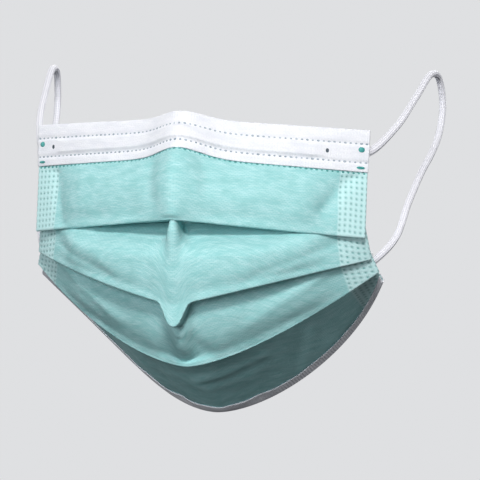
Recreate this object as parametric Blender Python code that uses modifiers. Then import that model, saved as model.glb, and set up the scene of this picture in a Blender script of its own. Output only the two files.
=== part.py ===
"""Pleated surgical face mask in the shape that it takes when worn, with two ear loops.

Lengths are in metres and +Z is up. The mask faces -Y and the face is on its +Y side. The origin
is the bridge of the nose, where the middle of the top edge sits.
"""

import math
from dataclasses import dataclass

import bmesh
import bpy
from mathutils import Vector

# Main sizes of the worn mask
HALF_WIDTH = 0.0669       # middle to a lower corner
HEIGHT = 0.114            # nose bridge down to the hem under the chin
DEPTH = 0.070             # nose bridge back to the hem under the chin
NOSE_LIFT = 0.008         # how far the nose pushes the cloth forward
NOSE_WIDTH = 0.0105       # half width of the nose's ridge in the cloth
RIDGE_DROP = 0.008        # how far the middle ridge carries a fold down
RIDGE_WIDTH = 0.005       # half width of the stretch where the ridge pulls a pleat flat

# Cloth
WALL = 0.001              # the three plies of the panel together
BAND_WALL = 0.001         # one leaf of a binding
CLEARANCE = 0.0003        # between pieces that touch
FOLD_RADIUS = WALL / 2 + CLEARANCE    # of the middle of the wall where it turns back
STRIP_WIDTH = 0.010       # flat welded strip at each side
SWELL_EDGE = 0.015        # from the strip in to where a panel swells fully
PUFF = 0.003              # how far a panel swells between its folds
CHIN_PUFF = 0.002
DENT_DEPTH = 0.003        # dent in the third panel, in the middle
DENT_WIDTH = 0.007
DENT_START = 0.3          # share of the panel's height above the dent
HEM_LEAF = 0.002          # height of the hem's leaves on the cloth
PLEAT_SHUT = 0.6          # share of a pleat's tuck at which its layers lie flat together

# Grid of the panel
COLUMNS = 18              # on each side of the middle
COLUMN_POWER = 1.3        # above 1 the columns crowd towards the middle

# Ear loops
LOOP_DIAMETER = 0.0028
LOOP_SPACING = 0.0062     # between the points of a loop's curve
LOOP_END = 0.008          # length of a loop end that is welded to the cloth


@dataclass(frozen=True)
class Line:
    """A line across the mask, from its middle out to its side edges.

    Widths are shares of HALF_WIDTH, drops of HEIGHT, backs of DEPTH, lifts of NOSE_LIFT and
    ridges of RIDGE_DROP. A drop is measured down and a back towards the face.
    """

    width: float
    drop: float
    side_drop: float
    drop_power: float
    back: float
    side_back: float
    back_power: float
    belly: float = 0.0
    lift: float = 0.0
    ridge: float = 0.0
    ridge_width: float = 1.0


@dataclass(frozen=True)
class Pleat:
    """A fold's lower edge, and the hidden crease behind it.

    The crease lies `gape` of HEIGHT under the edge in the middle, where the pleat is open, and
    `tuck` of HEIGHT above it at the sides. `recess` is how far it lies behind the edge in the
    middle, a share of DEPTH, and `flat` is the share of it that the nose's ridge pulls out.
    `rows` is the grid's rows in the panel above the edge, and `dent` a share of DENT_DEPTH.
    """

    edge: Line
    gape: float
    tuck: float
    close_power: float
    recess: float
    rows: int
    flat: float = 0.0
    dent: float = 0.0


TOP = Line(width=0.958, drop=0.026, side_drop=0.050, drop_power=1.2,
           back=0.086, side_back=0.529, back_power=1.15, lift=0.75, ridge=-0.36)
BAND = Line(width=0.952, drop=0.152, side_drop=0.189, drop_power=1.0,
            back=0.029, side_back=0.518, back_power=1.2, lift=0.80, ridge=-0.45)
HEM = Line(width=1.0, drop=1.0, side_drop=0.548, drop_power=1.75,
           back=0.986, side_back=0.790, back_power=3.0, belly=0.22)

PLEATS = (
    Pleat(Line(width=0.952, drop=0.353, side_drop=0.404, drop_power=1.0,
               back=-0.086, side_back=0.486, back_power=1.5, lift=0.5),
          gape=0.022, tuck=0.070, close_power=2.4, recess=0.085, flat=0.7, rows=6),
    Pleat(Line(width=0.966, drop=0.632, side_drop=0.475, drop_power=1.1,
               back=-0.071, side_back=0.600, back_power=2.1, ridge=1.0, ridge_width=0.4),
          gape=0.018, tuck=0.070, close_power=4.0, recess=0.085, flat=0.6, rows=6),
    Pleat(Line(width=0.994, drop=0.836, side_drop=0.518, drop_power=1.45,
               back=0.279, side_back=0.686, back_power=2.2),
          gape=0.010, tuck=0.070, close_power=3.0, recess=0.090, rows=5, dent=1.0),
)

# Rows of the panel's grid
BAND_ROWS = 4
CHIN_ROWS = 7
RETURN_ROWS = 1

# Rows that the ends of an ear loop are welded to at the side edge, counted from the top edge and
# from the hem, and the rows by which the lower end climbs inside it
TOP_WELD_ROW = 2
LOW_WELD_ROW = -5
LOW_WELD_CLIMB = 2


def mix(start, end, share):
    """Return the value a share of the way from start to end."""
    return start + (end - start) * share


def smooth_step(value):
    """Return 0 below 0, 1 above 1 and a smooth slope between."""
    value = min(max(value, 0.0), 1.0)
    return value * value * (3.0 - 2.0 * value)


def line_point(line, t):
    """Return the point of a line at t, from -1 at one side edge to 1 at the other."""
    x = line.width * HALF_WIDTH * t
    s = abs(t)
    nose = math.exp(-(x / NOSE_WIDTH) ** 2)
    ridge = math.exp(-(x / (NOSE_WIDTH * line.ridge_width)) ** 2)
    belly = line.belly * 6.75 * s * s * (1.0 - s)
    back = mix(line.back, line.side_back, s ** line.back_power) + belly
    drop = mix(line.drop, line.side_drop, s ** line.drop_power)
    y = back * DEPTH - line.lift * NOSE_LIFT * nose
    z = -drop * HEIGHT - line.ridge * RIDGE_DROP * ridge
    return Vector((x, y, z))


def inward(line, t):
    """Return the level unit vector that points from a line to the face at t."""
    step = 0.01
    along = line_point(line, t + step) - line_point(line, t - step)
    return Vector((-along.y, along.x, 0.0)).normalized()


def crease_point(pleat, start, t):
    """Return the point of a pleat's hidden crease at t, behind the panel that begins at start."""
    edge = line_point(pleat.edge, t)
    rise = mix(-pleat.gape, pleat.tuck, abs(t) ** pleat.close_power) * HEIGHT
    front = edge.lerp(start, max(rise, 0.0) / (start.z - edge.z))
    closed = smooth_step(rise / (PLEAT_SHUT * pleat.tuck * HEIGHT))
    ridge = math.exp(-(edge.x / RIDGE_WIDTH) ** 2)
    recess = mix(pleat.recess * DEPTH * (1.0 - pleat.flat * ridge), 3.0 * FOLD_RADIUS, closed)
    return Vector((front.x, front.y, edge.z + rise)) + inward(pleat.edge, t) * recess


def side_fade(t):
    """Return 0 on the flat strips at the sides and 1 well inside them."""
    return smooth_step(((1.0 - abs(t)) * HALF_WIDTH - STRIP_WIDTH) / SWELL_EDGE)


def panel_rows(start, end, count, swell):
    """Return the points from start to end, end left out, swollen by a vector half way."""
    points = []
    for row in range(count):
        share = row / count
        points.append(start.lerp(end, share) + swell * (4.0 * share * (1.0 - share)))
    return points


def section(t):
    """Return the points of the cloth's middle from the top edge down to the hem at t."""
    up = Vector((0.0, 0.0, FOLD_RADIUS))
    top_gap = Vector((0.0, 0.0, -(WALL / 2 + BAND_WALL + CLEARANCE)))
    start = line_point(BAND, t)
    points = panel_rows(line_point(TOP, t) + top_gap, start, BAND_ROWS, Vector())
    for pleat in PLEATS:
        edge = line_point(pleat.edge, t)
        crease = crease_point(pleat, start, t)
        back = inward(pleat.edge, t) * FOLD_RADIUS
        closed = min(max((crease.z - edge.z) / (3.0 * FOLD_RADIUS), -1.0), 1.0)
        swell = -back.normalized() * PUFF * side_fade(t)
        rows = panel_rows(start, edge + up, pleat.rows, swell)
        dent = pleat.dent * DENT_DEPTH * math.exp(-(edge.x / DENT_WIDTH) ** 2)
        for index, point in enumerate(rows):
            point.y += dent * smooth_step((index / pleat.rows - DENT_START) / (1.0 - DENT_START))
        points += rows
        points += [edge + up, edge + back, edge + 2.0 * back + up * closed]
        before = crease - back - up * closed
        points += panel_rows(points[-1], before, RETURN_ROWS + 1, Vector())[1:]
        points += [before, crease]
        start = crease - up + back * max(closed, 0.0)
    hem = line_point(HEM, t)
    run = (hem - start).normalized()
    swell = Vector((0.0, run.z, -run.y)) * CHIN_PUFF * side_fade(t)
    end = hem - run * (WALL / 2 + BAND_WALL + CLEARANCE)
    return points + panel_rows(start, end, CHIN_ROWS, swell) + [end]


def outward(t, row):
    """Return the unit vector out of the cloth's front at t and a row of the section."""
    step = 0.01
    column = section(t)
    row %= len(column)
    down = column[min(row + 1, len(column) - 1)] - column[row - 1]
    across = section(t + step)[row] - section(t - step)[row]
    return down.cross(across).normalized()


def columns():
    """Return the places of the grid's columns, from one side edge to the other."""
    half = [(index / COLUMNS) ** COLUMN_POWER for index in range(1, COLUMNS + 1)]
    return [-t for t in reversed(half)] + [0.0] + half


def sheet_object(name, grid, wall, material, collection):
    """Add a closed shell made from a grid of points, a list for each column.

    The grid's columns run from -X to +X and its rows down, so that its faces point to -Y.
    """
    mesh = bpy.data.meshes.new(name)
    shape = bmesh.new()
    verts = [[shape.verts.new(point) for point in column] for column in grid]
    for left, right in zip(verts, verts[1:]):
        for row in range(len(left) - 1):
            shape.faces.new((left[row], left[row + 1], right[row + 1], right[row]))
    shape.to_mesh(mesh)
    shape.free()
    mesh.materials.append(material)
    mesh.shade_smooth()
    item = bpy.data.objects.new(name, mesh)
    collection.objects.link(item)
    solidify = item.modifiers.new("Wall", "SOLIDIFY")
    solidify.thickness = wall
    solidify.offset = 0.0
    return item


def folded_strip(base, beyond, out):
    """Return the rows of a strip folded over an edge, from its outer leaf to its inner one.

    base: points of the middle of the cloth's wall, from the leaf's free edge to the cloth's edge
    beyond: unit vector out of the cloth's edge
    out: unit vector out of the cloth's front
    """
    reach = WALL / 2 + CLEARANCE + BAND_WALL / 2
    outer = [point + out * reach for point in base]
    inner = [point - out * reach for point in reversed(base)]
    corner = math.sqrt(0.5)
    bend = [base[-1] + (out + beyond) * (reach * corner), base[-1] + beyond * reach,
            base[-1] + (beyond - out) * (reach * corner)]
    return outer + bend + inner


def top_band_grid():
    """Return the grid of the band that is folded over the top edge."""
    grid = []
    for t in columns():
        rows = section(t)[:BAND_ROWS + 1]
        grid.append(folded_strip(list(reversed(rows)), Vector((0.0, 0.0, 1.0)), -inward(TOP, t)))
    return grid


def hem_grid():
    """Return the grid of the narrow strip that is folded over the lower edge."""
    grid = []
    for t in columns():
        end = section(t)[-1]
        run = (end - section(t)[-2]).normalized()
        base = [end - run * HEM_LEAF, end - run * (HEM_LEAF / 2), end]
        grid.append(folded_strip(base, run, outward(t, -1)))
    return grid


def curve_point(four, share):
    """Return a point between the middle two of four points, on a centripetal Catmull-Rom curve."""
    knots = [0.0]
    for start, end in zip(four, four[1:]):
        knots.append(knots[-1] + math.sqrt((end - start).length))
    place = mix(knots[1], knots[2], share)

    def blend(a, b, first, last):
        return a.lerp(b, (place - knots[first]) / (knots[last] - knots[first]))

    near = [blend(four[index], four[index + 1], index, index + 1) for index in range(3)]
    wide = [blend(near[index], near[index + 1], index, index + 2) for index in range(2)]
    return blend(wide[0], wide[1], 1, 2)


def smooth_route(points, spacing):
    """Return evenly spaced points on a smooth curve through the route's points."""
    first = points[0] * 2.0 - points[1]
    last = points[-1] * 2.0 - points[-2]
    guide = [first] + points + [last]
    fine = []
    steps = 40
    for four in zip(guide, guide[1:], guide[2:], guide[3:]):
        fine += [curve_point(four, step / steps) for step in range(steps)]
    fine.append(points[-1])
    lengths = [0.0]
    for start, end in zip(fine, fine[1:]):
        lengths.append(lengths[-1] + (end - start).length)
    count = round(lengths[-1] / spacing)
    route = []
    index = 0
    for number in range(count + 1):
        wanted = lengths[-1] * number / count
        while index < len(fine) - 2 and lengths[index + 1] < wanted:
            index += 1
        span = lengths[index + 1] - lengths[index]
        route.append(fine[index].lerp(fine[index + 1], (wanted - lengths[index]) / span))
    return route


@dataclass(frozen=True)
class Turn:
    """A point of an ear loop's free stretch.

    `out` is a share of HALF_WIDTH from the middle, `back` of DEPTH towards the face and `up` of
    HEIGHT above the nose bridge.
    """

    out: float
    back: float
    up: float


# From the top corner over and behind the ear, and down to the lower corner
LOOP_ROUTE = (
    Turn(out=1.046, back=0.829, up=-0.035),
    Turn(out=1.099, back=1.129, up=0.072),
    Turn(out=1.132, back=1.379, up=0.151),
    Turn(out=1.148, back=1.529, up=0.140),
    Turn(out=1.160, back=1.600, up=0.053),
    Turn(out=1.154, back=1.543, up=-0.044),
    Turn(out=1.138, back=1.414, up=-0.114),
    Turn(out=1.112, back=1.243, up=-0.184),
    Turn(out=1.079, back=1.057, up=-0.285),
    Turn(out=1.043, back=0.886, up=-0.404),
)


def weld_points(first, climb, depth):
    """Return the points of a loop's welded end, from the side edge to LOOP_END inside it.

    first: the section's row at the side edge
    climb: how many rows higher the end's other point lies
    depth: from the middle of the wall to the middle of the loop, towards the face
    """
    points = []
    for share in (0.0, 0.5, 1.0):
        t = 1.0 - LOOP_END / HALF_WIDTH * share
        row = first - round(climb * share)
        points.append(section(t)[row] - outward(t, row) * depth)
    return points


def loop_object(name, side, material, collection):
    """Add an ear loop: a round elastic from the top corner round the ear to the lower corner."""
    radius = LOOP_DIAMETER / 2
    seat = WALL / 2 + 2.0 * CLEARANCE + radius
    top = weld_points(TOP_WELD_ROW, 0, seat + BAND_WALL + CLEARANCE)
    low = weld_points(LOW_WELD_ROW, LOW_WELD_CLIMB, seat)
    free = [Vector((turn.out * HALF_WIDTH, turn.back * DEPTH, turn.up * HEIGHT))
            for turn in LOOP_ROUTE]
    route = list(reversed(top)) + free + low
    curve = bpy.data.curves.new(name, "CURVE")
    curve.dimensions = "3D"
    curve.bevel_depth = radius
    curve.bevel_resolution = 2
    curve.use_fill_caps = True
    points = smooth_route(route, LOOP_SPACING)
    spline = curve.splines.new("POLY")
    spline.points.add(len(points) - 1)
    for place, point in zip(spline.points, points):
        place.co = (side * point.x, point.y, point.z, 1.0)
    curve.materials.append(material)
    item = bpy.data.objects.new(name, curve)
    collection.objects.link(item)
    return item


def new_material(name, colour, roughness):
    """Return a plain material."""
    material = bpy.data.materials.new(name)
    material.use_nodes = True
    shader = material.node_tree.nodes["Principled BSDF"]
    shader.inputs["Base Color"].default_value = (*colour, 1.0)
    shader.inputs["Roughness"].default_value = roughness
    shader.inputs["Metallic"].default_value = 0.0
    return material


def main():
    """Build the mask."""
    for item in list(bpy.data.objects):
        bpy.data.objects.remove(item, do_unlink=True)
    collection = bpy.data.collections.new("surgical_face_mask")
    bpy.context.scene.collection.children.link(collection)
    mint = new_material("mint_nonwoven", (0.36, 0.72, 0.69), 0.85)
    white = new_material("white_nonwoven", (0.82, 0.83, 0.87), 0.85)
    elastic = new_material("white_elastic", (0.86, 0.86, 0.90), 0.75)
    panel_grid = [section(t) for t in columns()]
    sheet_object("pleated_panel", panel_grid, WALL, mint, collection)
    sheet_object("top_band", top_band_grid(), BAND_WALL, white, collection)
    sheet_object("bottom_hem", hem_grid(), BAND_WALL, white, collection)
    loop_object("ear_loop_left", 1.0, elastic, collection)
    loop_object("ear_loop_right", -1.0, elastic, collection)


if __name__ == "__main__":
    main()
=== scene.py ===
"""Looks of a pleated surgical face mask as it sits when worn: cloth, welds and ear loops.

Lengths are in metres and +Z is up. The mask faces -Y, and the origin is the nose bridge.
"""

import logging
import math
from dataclasses import dataclass, field
from enum import Enum

import bpy
import numpy as np
from mathutils import Matrix, Vector, noise


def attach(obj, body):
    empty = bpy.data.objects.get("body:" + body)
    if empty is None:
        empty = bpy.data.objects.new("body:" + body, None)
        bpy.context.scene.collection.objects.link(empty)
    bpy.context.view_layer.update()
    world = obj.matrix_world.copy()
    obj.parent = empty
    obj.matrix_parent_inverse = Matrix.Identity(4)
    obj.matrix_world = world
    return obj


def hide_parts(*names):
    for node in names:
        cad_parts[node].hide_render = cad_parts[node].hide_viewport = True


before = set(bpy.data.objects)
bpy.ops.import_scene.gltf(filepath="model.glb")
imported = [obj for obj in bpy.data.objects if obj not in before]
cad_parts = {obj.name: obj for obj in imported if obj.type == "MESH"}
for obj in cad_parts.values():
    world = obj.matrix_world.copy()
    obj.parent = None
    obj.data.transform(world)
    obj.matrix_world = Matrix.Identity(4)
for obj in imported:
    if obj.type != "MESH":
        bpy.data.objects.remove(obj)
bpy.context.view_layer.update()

UP = Vector((0.0, 0.0, 1.0))
ROOT = "root"
TURN = 2.0 * math.pi
PLACE_STEP = 0.01          # way across the mask that a line's direction is measured over
BELLY_PEAK = 6.75          # brings the highest value of s * s * (1 - s) to 1
RIM_PEAK = 7.4             # brings the highest value of x * x * exp(-2 * x) to 1
PLAN_REACH = 14            # columns to each side that the flat plan is evened out over
RING_SPACING = 0.00028     # way along a cord between the rings of its mesh
RING_SIDES = 36            # sides of a ring
STITCH_SLANT = 1.4         # rise of a stitch's legs, in stitches for the width of a lane
COURSE_DEPTH = 0.6         # share of a stitch's height that comes and goes along the cord
FLAT_WIDEN = 0.35          # how much wider a cord is where it is pressed flat
FLAT_PRESS = 0.6           # how much thinner it is there
SPECULAR = 0.3             # of every surface: cloth shines little


class Side(Enum):
    """A side of the mask, with the sign of its X."""

    LEFT = 1.0
    RIGHT = -1.0


class Face(Enum):
    """A face of the cloth, with its sign along the normal out of the front."""

    OUTER = 1.0
    INNER = -1.0


class Slot(Enum):
    """A material slot of the record."""

    MINT = "outer_nonwoven"
    WHITE = "white_nonwoven"
    ELASTIC = "ear_elastic"


def mix(start: float, end: float, share: float) -> float:
    """Return the value a share of the way from start to end."""
    return start + (end - start) * share


def smooth_step(value: float) -> float:
    """Return 0 below 0, 1 above 1 and a smooth slope between."""
    value = min(max(value, 0.0), 1.0)
    return value * value * (3.0 - 2.0 * value)


def bell(value: float, width: float) -> float:
    """Return 1 at 0, and less the further the value lies from it."""
    return math.exp(-(value / width) ** 2)


def arch(share: float) -> float:
    """Return 0 at the ends of a stretch and 1 half way along it."""
    return 4.0 * share * (1.0 - share)


def window(value: float, start: float, end: float, soft: float) -> float:
    """Return 1 within a stretch and 0 outside it, with a smooth slope just inside each end."""
    return smooth_step((value - start) / soft) * smooth_step((end - value) / soft)


def ripple(place: np.ndarray, pitch: float) -> np.ndarray:
    """Return a wave from 0 to 1, which is 1 at 0 and at every pitch."""
    return 0.5 + 0.5 * np.cos(TURN * place / pitch)


def run_along(points: np.ndarray) -> np.ndarray:
    """Return how far along its line each point lies, for one line of points or for many."""
    steps = np.linalg.norm(np.diff(points, axis=-2), axis=-1)
    start = np.zeros((*steps.shape[:-1], 1))
    return np.concatenate([start, np.cumsum(steps, axis=-1)], axis=-1)


def run_across(points: np.ndarray) -> np.ndarray:
    """Return how far each column of a grid lies from the first, in the mean of its rows."""
    wide = np.linalg.norm(np.diff(points, axis=0), axis=2).mean(axis=1)
    return np.concatenate([[0.0], np.cumsum(wide)])


def picked(vectors: np.ndarray, run: np.ndarray, wanted: np.ndarray | float) -> np.ndarray:
    """Return the vectors of a line at wanted distances along it.

    Args:
        vectors: One for each point of the line.
        run: How far along the line each point lies.
        wanted: One distance or many.

    Returns:
        A vector for each distance.
    """
    return np.stack([np.interp(wanted, run, vectors[:, axis]) for axis in range(3)], axis=-1)


# Form of the cloth

@dataclass(frozen=True)
class Line:
    """A line across the mask, from its middle out to its side edges.

    Widths are shares of the half width, drops of the height, backs and bellies of the depth,
    lifts of the nose's lift and ridges of the ridge's drop.
    """

    width: float
    drop: float
    side_drop: float
    drop_power: float
    back: float
    side_back: float
    back_power: float
    belly: float = 0.0
    lift: float = 0.0
    ridge: float = 0.0
    ridge_width: float = 1.0
    ridge_power: float = 2.0


@dataclass(frozen=True)
class Pleat:
    """A fold's lower edge and the crease behind it, with the rows of the panel above it.

    The peak is how much deeper the pleat is beside the middle ridge, a share of the depth, and
    the hollow says how soon the panel below is forward again: 2 is half way down it.
    """

    edge: Line
    tuck: float
    close_power: float
    recess: float
    rows: int
    flat: float = 0.0
    dent: float = 0.0
    peak: float = 0.0
    hollow: float = 0.0


@dataclass(frozen=True)
class Crease:
    """A soft line raised out of a panel, or pressed into it.

    part: 1 to 3 for the panels above the folds, 4 for the one under the chin
    across, down: its start, -1 to 1 across the mask and 0 to 1 down the panel
    to_across, to_down: its end
    rise: height out of the cloth, below zero for a valley
    spread: half width
    """

    part: int
    across: float
    down: float
    to_across: float
    to_down: float
    rise: float
    spread: float


@dataclass(frozen=True)
class Row:
    """A row of the cloth's grid: the part it lies in, 0 under the band, and its share down it."""

    part: int
    share: float
    hidden: bool = False


CREASES: tuple[Crease, ...] = (
    Crease(1, 0.00, 0.0, 0.00, 1.0, 0.0010, 0.0032),
    Crease(1, -0.17, 0.0, -0.12, 0.7, -0.0010, 0.0032),
    Crease(1, 0.13, 0.0, 0.15, 0.5, -0.0009, 0.0030),
    Crease(1, 0.93, 0.0, 0.78, 0.65, -0.0012, 0.0030),
    Crease(1, -0.88, 0.0, -0.80, 0.95, -0.0009, 0.0026),
    Crease(1, 0.25, 0.2, 0.70, 0.35, 0.0004, 0.0040),
    Crease(1, -0.30, 0.35, -0.70, 0.2, 0.0004, 0.0040),
    Crease(1, 0.35, 0.8, 0.62, 0.6, -0.0003, 0.0035),
    Crease(1, -0.25, 0.7, -0.60, 0.85, -0.0003, 0.0035),
    Crease(2, 0.00, 0.0, 0.00, 0.5, 0.0004, 0.0040),
    Crease(2, 0.13, 0.1, 0.16, 0.9, -0.0004, 0.0026),
    Crease(2, -0.13, 0.1, -0.16, 0.9, -0.0004, 0.0026),
    Crease(2, 0.90, 0.15, 0.40, 0.5, 0.0005, 0.0032),
    Crease(2, 0.85, 0.5, 0.45, 0.8, -0.0004, 0.0026),
    Crease(2, -0.90, 0.2, -0.45, 0.6, 0.0005, 0.0030),
    Crease(2, -0.80, 0.6, -0.40, 0.85, -0.0004, 0.0026),
    Crease(3, 0.85, 0.25, 0.40, 0.6, 0.0005, 0.0030),
    Crease(3, -0.85, 0.25, -0.40, 0.6, 0.0005, 0.0030),
    Crease(3, 0.02, 0.35, 0.14, 0.9, -0.0005, 0.0022),
    Crease(3, -0.02, 0.35, -0.12, 0.9, -0.0005, 0.0022),
    Crease(4, 0.06, 0.25, 0.36, 0.24, 0.0007, 0.0034),
    Crease(4, 0.04, 0.38, 0.36, 0.36, -0.0005, 0.0034),
    Crease(4, 0.00, 0.3, 0.05, 0.95, 0.0006, 0.0030),
    Crease(4, 0.35, 0.35, 0.25, 0.9, -0.0006, 0.0030),
    Crease(4, -0.30, 0.3, -0.20, 0.9, -0.0006, 0.0030),
    Crease(4, -0.50, 0.25, -0.32, 0.8, 0.0006, 0.0030),
    Crease(4, 0.60, 0.3, 0.45, 0.85, 0.0006, 0.0030),
)


@dataclass
class WornForm:
    """The form that the cloth takes on a face: that of the solids, with pleats that gape more.

    Widths, fades and gaps with no unit are shares of the half width or of a panel's height. A
    shut pleat's recess is counted in fold radii, and each wave has a scale and a share.
    """

    half_width: float = 0.0669
    height: float = 0.114
    depth: float = 0.070
    nose_lift: float = 0.008
    nose_width: float = 0.0105
    ridge_drop: float = 0.008
    ridge_width: float = 0.0048
    peak_width: float = 0.40
    strip_width: float = 0.010
    swell_edge: float = 0.015
    puff: float = 0.003
    chin_puff: float = 0.0004
    dent_depth: float = 0.0045
    dent_width: float = 0.007
    dent_start: float = 0.3
    dent_end: float = 0.15
    pleat_shut: float = 0.6
    shut_recess: float = 3.0
    wall: float = 0.0006
    leaf: float = 0.0004
    clearance: float = 0.00012
    part_heights: tuple[float, ...] = (0.015, 0.024, 0.027, 0.028, 0.045)
    rim_depth: float = 0.0006
    rim_reach: float = 0.0030
    rim_gap: float = 0.14
    top_fade: float = 0.12
    edge_fade: float = 0.06
    unevenness: float = 0.00035
    waves: tuple[tuple[float, float], ...] = ((80.0, 1.0), (230.0, 0.4))
    band_rows: int = 8
    turn_rows: int = 6
    turn_rounds: int = 4
    return_rows: int = 5
    chin_rows: int = 44
    strip_columns: int = 33
    middle_columns: int = 104
    top: Line = Line(0.958, 0.026, 0.050, 1.2, 0.086, 0.529, 1.15, lift=0.75, ridge=-0.36)
    band: Line = Line(0.952, 0.152, 0.189, 1.0, 0.029, 0.518, 1.2, lift=0.80, ridge=-0.45)
    hem: Line = Line(1.0, 1.0, 0.548, 1.75, 0.986, 0.790, 3.0, belly=0.22)
    pleats: tuple[Pleat, ...] = (
        Pleat(Line(0.952, 0.353, 0.404, 1.0, -0.086, 0.486, 1.5, lift=0.5),
              tuck=0.070, close_power=2.4, recess=0.115, flat=0.98, peak=0.070, hollow=2.1,
              rows=48),
        Pleat(Line(0.966, 0.632, 0.475, 1.1, -0.071, 0.600, 2.1, ridge=1.0, ridge_width=0.38,
                   ridge_power=3.0),
              tuck=0.070, close_power=3.0, recess=0.110, rows=42),
        Pleat(Line(0.994, 0.836, 0.518, 1.52, 0.235, 0.686, 2.1),
              tuck=0.070, close_power=3.0, recess=0.110, rows=40, dent=1.0),
    )

    @property
    def chin(self) -> int:
        """Return the number of the part below the last fold."""
        return len(self.pleats) + 1

    @property
    def fold_radius(self) -> float:
        """Return the radius of the middle of the wall where the cloth turns back."""
        return self.wall / 2 + self.clearance

    @property
    def leaf_reach(self) -> float:
        """Return the way from the middle of the cloth to the middle of a leaf laid on it."""
        return self.wall / 2 + self.clearance + self.leaf / 2

    @property
    def edge_gap(self) -> float:
        """Return the way from a strip's fold to the cloth's edge inside it."""
        return self.wall / 2 + self.leaf + self.clearance

    def dip(self, line: Line, x: float) -> float:
        """Return how much lower a line runs near the middle of the mask."""
        width = self.nose_width * line.ridge_width
        return line.ridge * self.ridge_drop * math.exp(-abs(x / width) ** line.ridge_power)

    def line_point(self, line: Line, t: float) -> Vector:
        """Return the point of a line at t, from -1 at one side edge to 1 at the other."""
        x = line.width * self.half_width * t
        s = abs(t)
        nose = bell(x, self.nose_width)
        belly = line.belly * BELLY_PEAK * s * s * (1.0 - s)
        back = mix(line.back, line.side_back, s ** line.back_power) + belly
        drop = mix(line.drop, line.side_drop, s ** line.drop_power)
        y = back * self.depth - line.lift * self.nose_lift * nose
        return Vector((x, y, -drop * self.height - self.dip(line, x)))

    def inward(self, line: Line, t: float) -> Vector:
        """Return the level unit vector that points from a line to the face at t."""
        along = self.line_point(line, t + PLACE_STEP) - self.line_point(line, t - PLACE_STEP)
        return Vector((-along.y, along.x, 0.0)).normalized()

    def rise(self, pleat: Pleat, t: float) -> float:
        """Return how far a pleat's crease lies above its edge."""
        return pleat.tuck * self.height * abs(t) ** pleat.close_power

    def shut(self, pleat: Pleat, t: float) -> float:
        """Return 0 where a pleat gapes and 1 where it is pressed shut."""
        return smooth_step(self.rise(pleat, t) / (self.pleat_shut * pleat.tuck * self.height))

    def opening(self, pleat: Pleat, t: float) -> float:
        """Return how far a gaping pleat's crease lies behind its edge."""
        x = pleat.edge.width * self.half_width * t
        ridge = bell(x, self.ridge_width)
        deep = pleat.recess + pleat.peak * bell(t, self.peak_width)
        return deep * self.depth * (1.0 - pleat.flat * ridge) * (1.0 - self.shut(pleat, t))

    def crease_point(self, pleat: Pleat, start: Vector, t: float) -> Vector:
        """Return the point of a pleat's hidden crease at t, behind the panel that begins at start.

        Args:
            pleat: The pleat.
            start: The top of the panel above the pleat's edge.
            t: Place across the mask.

        Returns:
            The point where the cloth turns down again.
        """
        edge = self.line_point(pleat.edge, t)
        rise = self.rise(pleat, t)
        front = edge.lerp(start, rise / (start.z - edge.z))
        closed = self.shut_recess * self.fold_radius * self.shut(pleat, t)
        recess = self.opening(pleat, t) + closed
        return Vector((front.x, front.y, edge.z + rise)) + self.inward(pleat.edge, t) * recess

    def side_fade(self, t: float) -> float:
        """Return 0 on the flat strips at the sides and 1 well inside them."""
        return smooth_step(((1.0 - abs(t)) * self.half_width - self.strip_width)
                           / self.swell_edge)

    def fold(self, pleat: Pleat, start: Vector, t: float) -> list[Vector]:
        """Return the points round a pleat's edge, back to its crease and round that.

        The two turns are arcs that bend opposite ways, and the stretch between touches both.

        Args:
            pleat: The pleat.
            start: The top of the panel above its edge.
            t: Place across the mask.

        Returns:
            The points, of which the last is the top of the next panel.
        """
        radius = self.fold_radius
        back = self.inward(pleat.edge, t)
        edge = self.line_point(pleat.edge, t)
        offset = self.crease_point(pleat, start, t) - edge
        reach, rise = offset.dot(back), offset.z
        slip = offset - back * reach - UP * rise
        angle = math.pi / 2
        far = (reach, rise)
        for _ in range(self.turn_rounds):
            far = (reach - radius * math.cos(angle / 2), rise - radius * math.sin(angle / 2))
            run = (far[0] - radius, far[1] - radius)
            cosine = max(-2.0 * radius / math.hypot(*run), -1.0)
            angle = math.atan2(run[1], run[0]) + math.acos(cosine)
        angles = [angle * index / self.turn_rows for index in range(self.turn_rows + 1)]
        front = [(radius - radius * math.cos(a), radius - radius * math.sin(a)) for a in angles]
        rear = [(far[0] + radius * math.cos(a), far[1] + radius * math.sin(a))
                for a in reversed(angles)]
        between = [(mix(front[-1][0], rear[0][0], index / self.return_rows),
                    mix(front[-1][1], rear[0][1], index / self.return_rows))
                   for index in range(1, self.return_rows)]
        profile = front + between + rear
        last = len(profile) - 1
        return [edge + back * b + UP * z + slip * (index / last)
                for index, (b, z) in enumerate(profile)]

    @staticmethod
    def panel(start: Vector, end: Vector, count: int, swell: Vector = Vector(),
              reach: float = 1.0, opened: Vector = Vector(),
              hollow: float = 0.0) -> list[Vector]:
        """Return the points down a panel, its end left out.

        Args:
            start: The panel's top.
            end: Its lower edge.
            count: Number of points.
            swell: How far it stands out half way.
            reach: Share of it that stands out.
            opened: How far the pleat above it has taken its top back.
            hollow: How soon it is forward again below that pleat, or 0 where it is even.

        Returns:
            The points.
        """
        points = []
        for row in range(count):
            share = row / count
            early = smooth_step(share * hollow) - share if hollow else 0.0
            part = min(share / reach, 1.0)
            points.append(start.lerp(end, share) + swell * arch(part) - opened * early)
        return points

    def top_edge(self, t: float) -> Vector:
        """Return the cloth's own top edge, which lies inside the band."""
        return self.line_point(self.top, t) - UP * self.edge_gap

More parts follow.
